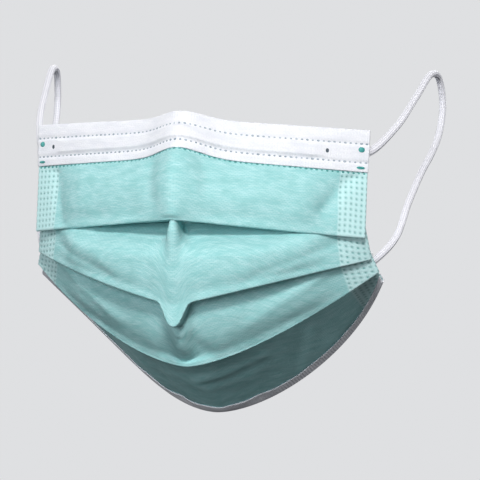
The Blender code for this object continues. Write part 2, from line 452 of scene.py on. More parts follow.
    def section(self, t: float) -> list[Vector]:
        """Return the points of the cloth's middle from the top edge down to the hem at t."""
        start = self.line_point(self.band, t)
        points = self.panel(self.top_edge(t), start, self.band_rows)
        opened, hollow = Vector(), 0.0
        for pleat in self.pleats:
            edge = self.line_point(pleat.edge, t)
            turn = self.fold(pleat, start, t)
            swell = -self.inward(pleat.edge, t) * (self.puff * self.side_fade(t))
            tongue = self.dip(pleat.edge, edge.x) / (start.z - edge.z)
            rows = self.panel(start, turn[0], pleat.rows, swell, 1.0 - tongue, opened, hollow)
            dent = pleat.dent * self.dent_depth * bell(edge.x, self.dent_width)
            for index, point in enumerate(rows):
                share = (index / pleat.rows - self.dent_start) / (1.0 - self.dent_start)
                leave = (1.0 - index / pleat.rows) / self.dent_end
                point.y += dent * smooth_step(share) * smooth_step(leave)
            points += rows + turn[:-1]
            start = turn[-1]
            opened, hollow = self.inward(pleat.edge, t) * self.opening(pleat, t), pleat.hollow
            opened.y -= pleat.edge.lift * self.nose_lift * bell(edge.x, self.nose_width)
        hem = self.line_point(self.hem, t)
        run = (hem - start).normalized()
        swell = Vector((0.0, run.z, -run.y)) * (self.chin_puff * self.side_fade(t))
        end = hem - run * self.edge_gap
        return points + self.panel(start, end, self.chin_rows, swell) + [end]

    def rows(self) -> list[Row]:
        """Return the rows of a section, in its order."""
        rows = [Row(0, index / self.band_rows) for index in range(self.band_rows)]
        turns = 2 * self.turn_rows + self.return_rows
        for part, pleat in enumerate(self.pleats, start=1):
            rows += [Row(part, index / pleat.rows) for index in range(pleat.rows)]
            rows += [Row(part, 1.0, hidden=True)] * turns
        return rows + [Row(self.chin, index / self.chin_rows)
                       for index in range(self.chin_rows + 1)]

    def columns(self) -> list[float]:
        """Return the places of the grid's columns, close together on the welded strips."""
        inner = 1.0 - self.strip_width / self.half_width
        strip = [mix(inner, 1.0, index / self.strip_columns)
                 for index in range(1, self.strip_columns + 1)]
        middle = [mix(-inner, inner, index / self.middle_columns)
                  for index in range(self.middle_columns + 1)]
        return [-t for t in reversed(strip)] + middle + strip

    def relief(self, row: Row, t: float, point: Vector) -> float:
        """Return how far the cloth stands out of its plain form.

        Args:
            row: The row of the grid.
            t: Place across the mask.
            point: The point of the plain form.

        Returns:
            The height along the normal out of the front.
        """
        if row.part == 0 or row.hidden:
            return 0.0
        tall = self.part_heights[row.part]
        here = Vector((t * self.half_width, row.share * tall))
        height = 0.0
        for crease in CREASES:
            if crease.part != row.part:
                continue
            start = Vector((crease.across * self.half_width, crease.down * tall))
            end = Vector((crease.to_across * self.half_width, crease.to_down * tall))
            run = end - start
            share = min(max((here - start).dot(run) / run.length_squared, 0.0), 1.0)
            apart = (here - start - run * share).length
            height += crease.rise * bell(apart, crease.spread)
        wave = sum(strength * noise.noise(point * scale) for scale, strength in self.waves)
        height += self.unevenness * wave * self.side_fade(t)
        height *= (smooth_step(row.share / self.top_fade)
                   * smooth_step((1.0 - row.share) / self.edge_fade))
        if row.part < self.chin:
            above = (1.0 - row.share) * tall / self.rim_reach
            rim = self.rim_depth * RIM_PEAK * above * above * math.exp(-2.0 * above)
            height -= rim * self.side_fade(t) * (1.0 - bell(t, self.rim_gap))
        return height


class Cloth:
    """The cloth's middle surface as a grid of points, with normals out of its front."""

    def __init__(self, form: WornForm) -> None:
        """Work the grid out from the worn form."""
        self.form = form
        self.rows = form.rows()
        self.places = form.columns()
        plain = [form.section(t) for t in self.places]
        self.points = np.array([[tuple(point) for point in column] for column in plain])
        lift = np.array([[form.relief(row, t, point) for row, point in zip(self.rows, column)]
                         for t, column in zip(self.places, plain)])
        self.points += self._normals() * lift[..., None]
        self.normals = self._normals()
        self.down = run_along(self.points)
        self.across = run_across(self.points)
        self.across -= self.across[-1] / 2

    def even_down(self) -> np.ndarray:
        """Return the way down the cloth, evened out across it as the cloth was before folding."""
        weights = np.hanning(2 * PLAN_REACH + 3)[1:-1]
        padded = np.pad(self.down, ((PLAN_REACH, PLAN_REACH), (0, 0)), mode="edge")
        return np.stack([np.convolve(row, weights / weights.sum(), mode="valid")
                         for row in padded.T], axis=1)

    def _normals(self) -> np.ndarray:
        """Return the unit normals out of the cloth's front."""
        down = np.gradient(self.points, axis=1)
        across = np.gradient(self.points, axis=0)
        normals = np.cross(down, across)
        return normals / np.linalg.norm(normals, axis=2, keepdims=True)

    def part_rows(self, part: int) -> list[int]:
        """Return the numbers of a part's rows, without those in a fold."""
        return [index for index, row in enumerate(self.rows)
                if row.part == part and not row.hidden]

    def column(self, t: float) -> tuple[np.ndarray, np.ndarray]:
        """Return the points and normals down the cloth at any place across it.

        Args:
            t: Place across the mask.

        Returns:
            The points and the unit normals, a row of each for a row of the grid.
        """
        index = min(max(int(np.searchsorted(self.places, t)), 1), len(self.places) - 1)
        low, high = self.places[index - 1], self.places[index]
        share = (t - low) / (high - low)
        points = mix(self.points[index - 1], self.points[index], share)
        normals = mix(self.normals[index - 1], self.normals[index], share)
        return points, normals / np.linalg.norm(normals, axis=1, keepdims=True)


# Meshes

@dataclass
class Layer:
    """Values that a mesh carries for its materials, a number or a vector for each vertex."""

    name: str
    values: np.ndarray


def grid_mesh(name: str, points: np.ndarray, plan: np.ndarray,
              layers: tuple[Layer, ...] = ()) -> bpy.types.Mesh:
    """Make a mesh from a grid of points.

    Args:
        name: Name of the mesh.
        points: Columns by rows by three.
        plan: Columns by rows by two, the place of each point on the flat cloth, in metres.
        layers: Values for the vertices, columns by rows.

    Returns:
        The mesh, whose UV map "plan" holds the flat places.
    """
    wide, tall = points.shape[:2]
    mesh = bpy.data.meshes.new(name)
    number = np.arange(wide * tall).reshape(wide, tall)
    faces = np.stack([number[:-1, :-1], number[:-1, 1:], number[1:, 1:], number[1:, :-1]],
                     axis=-1).reshape(-1, 4)
    mesh.from_pydata(points.reshape(-1, 3).tolist(), [], faces.tolist())
    uv = mesh.uv_layers.new(name="plan")
    uv.data.foreach_set("uv", plan.reshape(-1, 2)[faces.reshape(-1)].astype(np.float32).ravel())
    for layer in layers:
        attribute = mesh.attributes.new(layer.name, "FLOAT", "POINT")
        attribute.data.foreach_set("value", layer.values.astype(np.float32).ravel())
    mesh.shade_smooth()
    return mesh


def add_object(name: str, data: bpy.types.ID) -> bpy.types.Object:
    """Add an object to the scene and return it."""
    item = bpy.data.objects.new(name, data)
    bpy.context.scene.collection.objects.link(item)
    return item


def make_plain(item: bpy.types.Object, name: str) -> bpy.types.Object:
    """Turn an object and its modifiers into a plain mesh object.

    Args:
        item: The object, which is removed.
        name: Name of the plain one.

    Returns:
        The plain object, with no modifiers.
    """
    graph = bpy.context.evaluated_depsgraph_get()
    mesh = bpy.data.meshes.new_from_object(item.evaluated_get(graph),
                                           preserve_all_data_layers=True, depsgraph=graph)
    mesh.name = name
    bpy.data.objects.remove(item, do_unlink=True)
    return add_object(name, mesh)


def thicken(item: bpy.types.Object, wall: float, material_step: int = 0,
            loft: np.ndarray | None = None, pressed: float = 1.0) -> None:
    """Give a sheet its wall, half to each side.

    Args:
        item: The sheet.
        wall: Its thickness.
        material_step: How many material slots further the back is.
        loft: Thickness of each vertex, from 0 where it is pressed to 1.
        pressed: Share of the wall that is left where loft is 0.
    """
    modifier = item.modifiers.new("Wall", "SOLIDIFY")
    modifier.thickness = wall
    modifier.offset = 0.0
    modifier.material_offset = material_step
    if loft is not None:
        group = item.vertex_groups.new(name="loft")
        flat = loft.ravel()
        for level in np.unique(np.round(flat, 2)):
            members = np.nonzero(np.round(flat, 2) == level)[0]
            group.add(members.tolist(), float(level), "REPLACE")
        modifier.vertex_group = group.name
        modifier.thickness_vertex_group = pressed


def dress(item: bpy.types.Object, replaced: str = "") -> None:
    """Let a piece ride on the mask, hide the solid that it takes the place of, and log its size.
    """
    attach(item, ROOT)
    if replaced:
        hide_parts(replaced)
    corners = [Vector(corner) for corner in item.bound_box]
    size = [max(c[axis] for c in corners) - min(c[axis] for c in corners) for axis in range(3)]
    logging.info("%s: %d faces, %s mm", item.name, len(item.data.polygons),
                 " x ".join(f"{length * 1000:.1f}" for length in size))


# Node trees

class NodeNet:
    """A node tree, with short ways to add nodes and join them."""

    def __init__(self, tree: bpy.types.NodeTree) -> None:
        """Keep the tree."""
        self.tree = tree

    def add(self, kind: str, inputs: dict | None = None, **settings: object) -> bpy.types.Node:
        """Add a node.

        Args:
            kind: Its type.
            inputs: A value, a socket or a node for each input that isn't left as it is.
            settings: Its own properties.

        Returns:
            The node.
        """
        node = self.tree.nodes.new(kind)
        for name, value in settings.items():
            setattr(node, name, value)
        for key, value in (inputs or {}).items():
            if isinstance(value, bpy.types.Node):
                value = value.outputs[0]
            if isinstance(value, bpy.types.NodeSocket):
                self.tree.links.new(value, node.inputs[key])
            else:
                node.inputs[key].default_value = value
        return node

    def sum(self, operation: str, *values: object) -> bpy.types.NodeSocket:
        """Return the result of a Math node on values, sockets or nodes."""
        return self.add("ShaderNodeMath", dict(enumerate(values)),
                        operation=operation).outputs[0]

    def vector(self, operation: str, *values: object) -> bpy.types.NodeSocket:
        """Return the vector of a Vector Math node on vectors, sockets or nodes."""
        return self.add("ShaderNodeVectorMath", dict(enumerate(values)),
                        operation=operation).outputs[0]

    def measure(self, operation: str, *values: object) -> bpy.types.NodeSocket:
        """Return the number that a Vector Math node works out."""
        return self.add("ShaderNodeVectorMath", dict(enumerate(values)),
                        operation=operation).outputs["Value"]

    def scaled(self, vector: object, factor: object) -> bpy.types.NodeSocket:
        """Return a vector times a number."""
        return self.add("ShaderNodeVectorMath", {0: vector, "Scale": factor},
                        operation="SCALE").outputs[0]

    def named(self, name: str, kind: str = "FLOAT") -> bpy.types.NodeSocket:
        """Return an attribute of the geometry that a tree works on."""
        return self.add("GeometryNodeInputNamedAttribute", {"Name": name},
                        data_type=kind).outputs[0]

    def stored(self, geometry: object, name: str, value: object,
               kind: str = "FLOAT") -> bpy.types.Node:
        """Return a node that keeps a value at the points of a geometry."""
        return self.add("GeometryNodeStoreNamedAttribute",
                        {"Geometry": geometry, "Name": name, "Value": value},
                        data_type=kind, domain="POINT")

    def spot(self) -> bpy.types.NodeSocket:
        """Return the place in the object that a material is asked for."""
        return self.add("ShaderNodeTexCoord").outputs["Object"]

    def layer(self, name: str) -> bpy.types.NodeSocket:
        """Return a value that the mesh carries for its materials."""
        return self.add("ShaderNodeAttribute", attribute_name=name).outputs["Fac"]

    def noise(self, place: object, scale: float, detail: float,
              roughness: float = 0.5) -> bpy.types.NodeSocket:
        """Return a noise from 0 to 1."""
        return self.add("ShaderNodeTexNoise", {"Vector": place, "Scale": scale, "Detail": detail,
                                               "Roughness": roughness}).outputs[0]

    def paint(self, shader: bpy.types.Node, colour: bpy.types.NodeSocket) -> None:
        """Give a shader its colour."""
        self.tree.links.new(colour, shader.inputs["Base Color"])

    def roughen(self, shader: bpy.types.Node, height: object, strength: float,
                distance: float) -> None:
        """Tilt a shader's surface as a height would.

        Args:
            shader: The shader.
            height: A value or socket, of 0 to about 1.
            strength: Share of the tilt that is used.
            distance: What a height of 1 stands for, in metres.
        """
        bump = self.add("ShaderNodeBump", {"Height": height, "Strength": strength,
                                           "Distance": distance})
        self.tree.links.new(bump.outputs[0], shader.inputs["Normal"])

    def ramp(self, value: object, low: float, high: float) -> bpy.types.NodeSocket:
        """Return a smooth slope from 0 at low to 1 at high."""
        return self.add("ShaderNodeMapRange",
                        {"Value": value, "From Min": low, "From Max": high},
                        interpolation_type="SMOOTHSTEP").outputs[0]

    def blend(self, share: object, first: object, second: object) -> bpy.types.NodeSocket:
        """Return a mix of two colours."""
        node = self.add("ShaderNodeMix", data_type="RGBA")
        sockets = (node.inputs["Factor"], *[s for s in node.inputs if s.type == "RGBA"])
        for socket, value in zip(sockets, (share, first, second)):
            if isinstance(value, bpy.types.NodeSocket):
                self.tree.links.new(value, socket)
            else:
                socket.default_value = value if isinstance(value, float) else (*value, 1.0)
        return next(s for s in node.outputs if s.type == "RGBA")


def surface(name: str, roughness: float,
            sheen: float = 0.0) -> tuple[bpy.types.Material, NodeNet, bpy.types.Node]:
    """Make a material with one shader.

    Args:
        name: Its name.
        roughness: Of the shader.
        sheen: Weight of the soft glow at grazing angles.

    Returns:
        The material, its net and its shader.
    """
    material = bpy.data.materials.new(name)
    material.use_nodes = True
    shader = material.node_tree.nodes["Principled BSDF"]
    for key, value in (("Roughness", roughness), ("Specular IOR Level", SPECULAR),
                       ("Sheen Weight", sheen)):
        shader.inputs[key].default_value = value
    return material, NodeNet(material.node_tree), shader


# Finishes

Colour = tuple[float, float, float]


@dataclass(frozen=True)
class Fibres:
    """Fibres that lie one way on the flat cloth, at an angle in radians."""

    angle: float
    width: float
    length: float


@dataclass(frozen=True)
class Nonwoven:
    """Spunbonded cloth: matted fibres, held by a lattice of small pressed points.

    The cloth's UV map is in metres. The attributes "strip" and "weld" say where it is welded
    in rows of dots, and how far a dot presses it. The strips' paler colour is partly their own
    tint and partly painted highlight on the puffed cloth between the dots. A share says how far
    a feature takes its own colour, and heights and depths are those of the bump.
    """

    name: str
    colour: Colour
    fibre: Colour
    hollow: Colour
    # paler colour of the welded strips: partly their own tint, partly painted highlight
    strip: Colour
    dot: Colour
    fibres: tuple[Fibres, ...] = (Fibres(0.10, 0.00050, 0.0060), Fibres(-0.22, 0.00060, 0.0050))
    fibre_share: float = 0.55
    fibre_height: float = 0.35
    cloud_size: tuple[float, float, float] = (0.008, 0.0032, 1.0)
    cloud_share: float = 0.5
    speck_scale: float = 900.0
    speck_height: float = 0.5
    bond_pitch: float = 0.0014
    bond_share: float = 0.35
    bond_depth: float = 0.6
    rib_pitch: float = 0.0011
    rib_depth: float = 0.0
    strip_share: float = 0.75
    dot_share: float = 0.8
    bump_strength: float = 0.5
    bump_distance: float = 0.00018
    roughness: float = 0.85
    sheen: float = 0.15

    @staticmethod
    def wave(net: NodeNet, place: bpy.types.NodeSocket, pitch: float) -> bpy.types.NodeSocket:
        """Return a sine wave along one way of the flat cloth."""
        return net.sum("SINE", net.sum("MULTIPLY", place, TURN / pitch))

    @staticmethod
    def streaks(net: NodeNet, plan: bpy.types.NodeSocket, lay: Fibres) -> bpy.types.NodeSocket:
        """Return streaks that run along the fibres.

        Args:
            net: The material's net.
            plan: The place on the flat cloth.
            lay: The fibres.

        Returns:
            A value from 0 to 1.
        """
        turned = net.add("ShaderNodeMapping", {"Vector": plan, "Rotation": (0.0, 0.0, lay.angle),
                                               "Scale": (lay.length, lay.width, 1.0)},
                         vector_type="TEXTURE")
        return net.ramp(net.noise(turned, scale=1.0, detail=3.0, roughness=0.6),
                        low=0.45, high=0.72)

    def material(self) -> bpy.types.Material:
        """Return the cloth's material."""
        material, net, shader = surface(self.name, self.roughness, self.sheen)
        plan = net.add("ShaderNodeUVMap", uv_map="plan").outputs[0]
        fibre = net.sum("MAXIMUM", *[self.streaks(net, plan, lay) for lay in self.fibres])
        patch = net.add("ShaderNodeMapping", {"Vector": plan, "Scale": self.cloud_size},
                        vector_type="TEXTURE")
        cloud = net.ramp(net.noise(patch, scale=1.0, detail=4.0, roughness=0.65),
                         low=0.62, high=0.32)
        speck = net.noise(net.spot(), self.speck_scale, detail=2.0, roughness=0.6)
        axes = net.add("ShaderNodeSeparateXYZ", {"Vector": plan}).outputs
        waves = [self.wave(net, axes[axis], self.bond_pitch) for axis in (0, 1)]
        bond = net.ramp(net.sum("MULTIPLY", *waves), low=0.45, high=0.85)
        colour = self.colour
        for mask, share, over in ((fibre, self.fibre_share, self.fibre),
                                  (cloud, self.cloud_share, self.hollow),
                                  (bond, self.bond_share, self.hollow),
                                  # strips: paler, partly their own tint and partly painted
                                  # highlight between the dots
                                  (net.layer("strip"), self.strip_share, self.strip),
                                  (net.layer("weld"), self.dot_share, self.dot)):
            colour = net.blend(net.sum("MULTIPLY", mask, share), colour, over)
        net.paint(shader, colour)
        height = net.sum("ADD", net.sum("MULTIPLY", fibre, self.fibre_height),
                         net.sum("MULTIPLY", speck, self.speck_height))
        height = net.sum("MULTIPLY_ADD", bond, -self.bond_depth, height)
        rib = self.wave(net, axes[0], self.rib_pitch)
        height = net.sum("MULTIPLY_ADD", rib, self.rib_depth, height)
        net.roughen(shader, height, self.bump_strength, self.bump_distance)
        return material


@dataclass(frozen=True)
class PressedFilm:
    """Cloth that a weld has melted to a thin film."""

    name: str
    colour: Colour
    edge: Colour
    roughness: float = 0.42
    cloud_scale: float = 700.0

    def material(self) -> bpy.types.Material:
        """Return the film's material."""
        material, net, shader = surface(self.name, self.roughness)
        cloud = net.noise(net.spot(), self.cloud_scale, detail=2.0)
        colour = net.blend(net.ramp(cloud, low=0.35, high=0.65), self.colour, self.edge)
        net.paint(shader, colour)
        net.roughen(shader, cloud, strength=0.2, distance=0.0001)
        return material


@dataclass(frozen=True)
class Elastic:
    """Knitted white elastic."""

    name: str
    colour: Colour
    # painted shade: the colour of the hollows between the stitches
    hollow: Colour
    roughness: float = 0.7
    yarn_scale: float = 2600.0
    sheen: float = 0.2

    def material(self) -> bpy.types.Material:
        """Return the elastic's material, with painted shade between its stitches."""
        material, net, shader = surface(self.name, self.roughness, self.sheen)
        raised = net.ramp(net.layer("stitch"), low=0.15, high=0.75)
        # painted shade: the colour darkens towards hollow where the stitch is low, between the
        # stitches
        colour = net.blend(raised, self.hollow, self.colour)
        net.paint(shader, colour)
        yarn = net.noise(net.spot(), self.yarn_scale, detail=3.0)
        net.roughen(shader, yarn, strength=0.4, distance=0.0001)
        return material


# each strip colour is partly the strips' own tint and partly painted highlight
MINT = Nonwoven("mint_nonwoven", colour=(0.33, 0.63, 0.64), fibre=(0.60, 0.82, 0.84),
                hollow=(0.20, 0.50, 0.50), strip=(0.60, 0.84, 0.85), dot=(0.08, 0.30, 0.30),
                sheen=0.03)
INNER = Nonwoven("inner_nonwoven", colour=(0.80, 0.82, 0.85), fibre=(0.90, 0.91, 0.93),
                 hollow=(0.70, 0.73, 0.77), strip=(0.86, 0.88, 0.90), dot=(0.60, 0.66, 0.68))
WHITE = Nonwoven("white_nonwoven", colour=(0.80, 0.81, 0.86), fibre=(0.90, 0.91, 0.94),
                 hollow=(0.68, 0.70, 0.77), strip=(0.86, 0.87, 0.91), dot=(0.50, 0.56, 0.62),
                 bond_depth=0.4, rib_depth=0.5)
MINT_FILM = PressedFilm("mint_film", (0.05, 0.28, 0.27), (0.10, 0.40, 0.38))
WHITE_FILM = PressedFilm("white_film", (0.24, 0.30, 0.35), (0.40, 0.46, 0.52))
DARK_FILM = PressedFilm("dark_film", (0.05, 0.07, 0.09), (0.10, 0.13, 0.16))
# the elastic's second colour is painted shade between the stitches
ELASTIC = Elastic("white_elastic", (0.88, 0.88, 0.92), (0.66, 0.66, 0.73))


# What repeats along paths

@dataclass
class Path:
    """Points on a surface with the unit vectors out of it."""

    points: list[Vector]
    facing: list[Vector]


def paths_object(name: str, paths: list[Path]) -> bpy.types.Object:
    """Add an object of bare edges that follow paths.

    Args:
        name: Its name.
        paths: The paths.

    Returns:
        The object, whose attribute "facing" holds the vectors out of the surface.
    """
    places, edges, facing = [], [], []
    for path in paths:
        first = len(places)
        places += path.points
        facing += path.facing
        edges += [(first + index, first + index + 1) for index in range(len(path.points) - 1)]
    mesh = bpy.data.meshes.new(name)
    mesh.from_pydata([tuple(point) for point in places], edges, [])
    attribute = mesh.attributes.new("facing", "FLOAT_VECTOR", "POINT")
    attribute.data.foreach_set("vector", np.array(facing, dtype=np.float32).ravel())
    return add_object(name, mesh)


class Repeater:
    """A Geometry Nodes tree with named inputs, and the way to run it on an object."""

    def __init__(self, name: str, inputs: dict[str, str]) -> None:
        """Start the tree.

        Args:
            name: Its name.
            inputs: The socket type of each input.
        """
        self.tree = bpy.data.node_groups.new(name, "GeometryNodeTree")
        self.net = NodeNet(self.tree)
        face = self.tree.interface
        face.new_socket("Geometry", in_out="INPUT", socket_type="NodeSocketGeometry")
        face.new_socket("Geometry", in_out="OUTPUT", socket_type="NodeSocketGeometry")
        self.sockets = {key: face.new_socket(key, in_out="INPUT", socket_type=kind).identifier
                        for key, kind in inputs.items()}
        self.start = self.net.add("NodeGroupInput")

    def close(self, geometry: bpy.types.NodeSocket) -> None:
        """End the tree: realize what is instanced, smooth it and give it the material."""
        net = self.net
        real = net.add("GeometryNodeRealizeInstances", {"Geometry": geometry})
        smooth = net.add("GeometryNodeSetShadeSmooth", {"Geometry": real})
        coated = net.add("GeometryNodeSetMaterial", {"Geometry": smooth,
                                                     "Material": self.start.outputs["Material"]})
        net.add("NodeGroupOutput", {"Geometry": coated})

    def run(self, item: bpy.types.Object, name: str, **values: object) -> bpy.types.Object:
        """Run the tree on an object.

        Args:
            item: The object, which the result takes the place of.
            name: Name of the result.
            values: A value for each input.

        Returns:
            The result as a plain mesh object.
        """
        modifier = item.modifiers.new("Repeat", "NODES")
        modifier.node_group = self.tree
        for key, value in values.items():
            modifier[self.sockets[key]] = value
        return make_plain(item, name)


def mark_tree() -> Repeater:
    """Return the tree that sets small lens-shaped marks along paths."""
    tree = Repeater("weld_marks", {
        "Spacing": "NodeSocketFloat", "Length": "NodeSocketFloat", "Width": "NodeSocketFloat",
        "Height": "NodeSocketFloat", "Unevenness": "NodeSocketFloat", "Seed": "NodeSocketInt",
        "Material": "NodeSocketMaterial"})
    net, given = tree.net, tree.start.outputs
    curve = net.add("GeometryNodeMeshToCurve", {"Mesh": given["Geometry"]})
    even = net.add("GeometryNodeResampleCurve",
                   {"Curve": curve, "Length": given["Spacing"]}, mode="LENGTH")
    turn = net.add("FunctionNodeAxesToRotation",
                   {"Primary Axis": net.named("facing", "FLOAT_VECTOR"),
                    "Secondary Axis": net.add("GeometryNodeInputTangent")},
                   primary_axis="Z", secondary_axis="X")
    lens = net.add("GeometryNodeMeshUVSphere", {"Segments": 10, "Rings": 6, "Radius": 0.5})
    size = net.add("ShaderNodeCombineXYZ", {"X": given["Length"], "Y": given["Width"],
                                            "Z": given["Height"]})
    least = net.sum("SUBTRACT", 1.0, given["Unevenness"])
    chance = net.add("FunctionNodeRandomValue", {2: least, 3: 1.0, "Seed": given["Seed"]},
                     data_type="FLOAT")
    marks = net.add("GeometryNodeInstanceOnPoints",
                    {"Points": even, "Instance": lens.outputs["Mesh"], "Rotation": turn,
                     "Scale": net.scaled(size, chance.outputs[1])})
    tree.close(marks.outputs[0])
    return tree


@dataclass(frozen=True)
class Mark:
    """A small pressed lens that is repeated along paths."""

    spacing: float
    length: float
    width: float
    height: float
    unevenness: float = 0.0
    seed: int = 1

    def set_along(self, paths: list[Path], name: str, marks: Repeater,
                  film: bpy.types.Material, slot: Slot) -> bpy.types.Object:
        """Set the mark along paths.

        Args:
            paths: The paths.
            name: Name of the piece that the marks make.
            marks: The tree that sets marks along paths.
            film: The marks' material.
            slot: Not used.

        Returns:
            The marks as one piece.
        """
        piece = marks.run(paths_object(f"{name}_guide", paths), name, Spacing=self.spacing,
                          Length=self.length, Width=self.width, Height=self.height,
                          Unevenness=self.unevenness, Seed=self.seed, Material=film)
        dress(piece)
        return piece


def knit_tree() -> Repeater:
    """Return the tree that knits a round cord along paths.

    The cord has lengthwise rows of V stitches. The attribute "flat" of the path, 0 to 1, says
    where it is pressed flat against the cloth, which lies along "facing".
    """
    tree = Repeater("knitted_cord", {
        "Diameter": "NodeSocketFloat", "Stitch": "NodeSocketFloat", "Wales": "NodeSocketFloat",
        "Relief": "NodeSocketFloat", "Material": "NodeSocketMaterial"})
    net, given = tree.net, tree.start.outputs
    curve = net.add("GeometryNodeMeshToCurve", {"Mesh": given["Geometry"]})
    even = net.add("GeometryNodeResampleCurve",
                   {"Curve": curve, "Length": RING_SPACING}, mode="LENGTH")
    kept = net.stored(even, "run", net.add("GeometryNodeSplineParameter").outputs["Length"])
    kept = net.stored(kept, "middle", net.add("GeometryNodeInputPosition"), "FLOAT_VECTOR")
    radius = net.sum("MULTIPLY", given["Diameter"], 0.5)
    ring = net.add("GeometryNodeCurvePrimitiveCircle",
                   {"Resolution": RING_SIDES, "Radius": radius}, mode="RADIUS")
    ring = net.stored(ring, "around", net.add("GeometryNodeSplineParameter").outputs["Factor"])
    tube = net.add("GeometryNodeCurveToMesh",
                   {"Curve": kept, "Profile Curve": ring, "Fill Caps": True})
    lane = net.sum("FRACT", net.sum("MULTIPLY", net.named("around"), given["Wales"]))
    lane = net.sum("SUBTRACT", lane, 0.5)
    slant = net.sum("MULTIPLY", net.sum("ABSOLUTE", lane), STITCH_SLANT)
    phase = net.sum("ADD", net.sum("DIVIDE", net.named("run"), given["Stitch"]), slant)
    course = net.sum("COSINE", net.sum("MULTIPLY", phase, TURN))
    course = net.sum("MULTIPLY_ADD", course, 0.5, 0.5)
    rib = net.sum("COSINE", net.sum("MULTIPLY", lane, math.pi))
    stitch = net.sum("MULTIPLY", rib,
                     net.sum("MULTIPLY_ADD", course, COURSE_DEPTH, 1.0 - COURSE_DEPTH))
    tube = net.stored(tube, "stitch", stitch)
    middle, facing = net.named("middle", "FLOAT_VECTOR"), net.named("facing", "FLOAT_VECTOR")
    flat = net.named("flat")
    offset = net.vector("SUBTRACT", net.add("GeometryNodeInputPosition"), middle)
    proud = net.sum("MULTIPLY", net.sum("SUBTRACT", stitch, 1.0), given["Relief"])
    scale = net.sum("MULTIPLY", net.sum("MULTIPLY_ADD", flat, FLAT_WIDEN, 1.0),
                    net.sum("ADD", 1.0, net.sum("DIVIDE", proud, radius)))
    grown = net.scaled(offset, scale)
    depth = net.measure("DOT_PRODUCT", grown, facing)
    press = net.scaled(facing, net.sum("MULTIPLY", depth, net.sum("MULTIPLY", flat, -FLAT_PRESS)))
    place = net.vector("ADD", net.vector("ADD", middle, grown), press)
    shaped = net.add("GeometryNodeSetPosition", {"Geometry": tube, "Position": place})
    tree.close(shaped.outputs[0])
    return tree


# Sub-assemblies

def white_strip(mesh: bpy.types.Mesh, leaf: float, node: str) -> bpy.types.Object:
    """Build a folded white strip from the grid of its leaf.

    Args:
        mesh: The grid.
        leaf: The leaf's thickness.
        node: The solid that the strip takes the place of.

    Returns:
        The strip.
    """
    mesh.materials.append(WHITE.material())
    sheet = add_object(mesh.name, mesh)
    thicken(sheet, leaf)
    sheet = make_plain(sheet, f"{node}_cloth")
    dress(sheet, node)
    return sheet


@dataclass
class PleatedPanel:
    """The pleated cloth of three plies, with its welded side strips."""

    cloth: Cloth
    flat_size: tuple[float, float] = (0.175, 0.165)
    dot_inset: float = 0.0017
    dot_pitch: float = 0.0018
    dot_columns: int = 5
    dot: Mark = Mark(0.0021, 0.0011, 0.0011, 0.00012, 0.15, 3)
    dot_press: float = 0.35
    dot_power: float = 1.5
    strip_soft: float = 0.0004
    slants: tuple[float, ...] = (0.0, 0.0, 0.40, 0.55, 0.30)

    def weld_pattern(self) -> tuple[np.ndarray, np.ndarray]:
        """Return where the strips are, and how far their dots press the cloth.

        Returns:
            Two arrays of 0 to 1, columns by rows.
        """
        cloth = self.cloth
        form = cloth.form
        inset = (1.0 - np.abs(np.array(cloth.places))) * form.half_width
        last = self.dot_inset + self.dot_pitch * (self.dot_columns - 0.5)
        strip = np.clip((last - inset) / self.strip_soft, 0.0, 1.0)[:, None]
        wave = ripple(inset - self.dot_inset, self.dot_pitch)
        strip = np.repeat(strip, len(cloth.rows), axis=1)
        weld = np.zeros_like(strip)
        for part in range(1, form.chin + 1):
            rows = cloth.part_rows(part)
            down = cloth.down[:, rows] - cloth.down[:, rows][:, :1]
            down = down + self.slants[part] * inset[:, None]
            rung = ripple(down, self.dot.spacing)
            weld[:, rows] = (wave[:, None] * rung) ** self.dot_power * strip[:, rows]
        return strip, weld

    def dot_paths(self, face: Face) -> list[Path]:
        """Return the paths that the strips' dots follow down each panel on one face."""
        paths = []
        form = self.cloth.form
        reach = form.wall / 2 * self.dot_press
        for side in Side:
            for number in range(self.dot_columns):
                inset = self.dot_inset + self.dot_pitch * number
                points, normals = self.cloth.column(side.value * (1.0 - inset / form.half_width))
                normals = normals * face.value
                for part in range(1, form.chin + 1):
                    rows = self.cloth.part_rows(part)
                    skip = -self.slants[part] * inset % self.dot.spacing
                    paths.append(self.trimmed(points[rows], normals[rows], reach, skip))
        return paths

    @staticmethod
    def trimmed(points: np.ndarray, normals: np.ndarray, reach: float, skip: float) -> Path:
        """Return the path along points, a reach out of them, with its first bit left out."""
        down = run_along(points)
        wanted = np.linspace(skip, down[-1], len(down))
        facing = [Vector(normal).normalized() for normal in picked(normals, down, wanted)]
        return Path([Vector(point) + out * reach
                     for point, out in zip(picked(points, down, wanted), facing)], facing)

    def build(self, marks: Repeater) -> list[bpy.types.Object]:
        """Build the cloth and its dots.

        Args:
            marks: The tree that sets marks along paths.

        Returns:
            The cloth first, then its dots.
        """
        cloth = self.cloth
        strip, weld = self.weld_pattern()
        across = np.repeat(cloth.across[:, None], len(cloth.rows), axis=1)
        plan = np.stack([across, -cloth.even_down()], axis=2)
        mesh = grid_mesh("panel", cloth.points, plan, (Layer("strip", strip), Layer("weld", weld)))
        mesh.materials.append(MINT.material())
        mesh.materials.append(INNER.material())
        sheet = add_object("panel", mesh)
        thicken(sheet, cloth.form.wall, material_step=1, loft=1.0 - weld, pressed=self.dot_press)
        sheet = make_plain(sheet, "pleated_panel_cloth")
        dress(sheet, "pleated_panel")
        pieces = [sheet]
        for face, film, slot in ((Face.OUTER, MINT_FILM, Slot.MINT),
                                 (Face.INNER, WHITE_FILM, Slot.WHITE)):
            pieces.append(self.dot.set_along(self.dot_paths(face),
                                             f"side_weld_dots_{face.name.lower()}", marks,
                                             film.material(), slot))
        return pieces


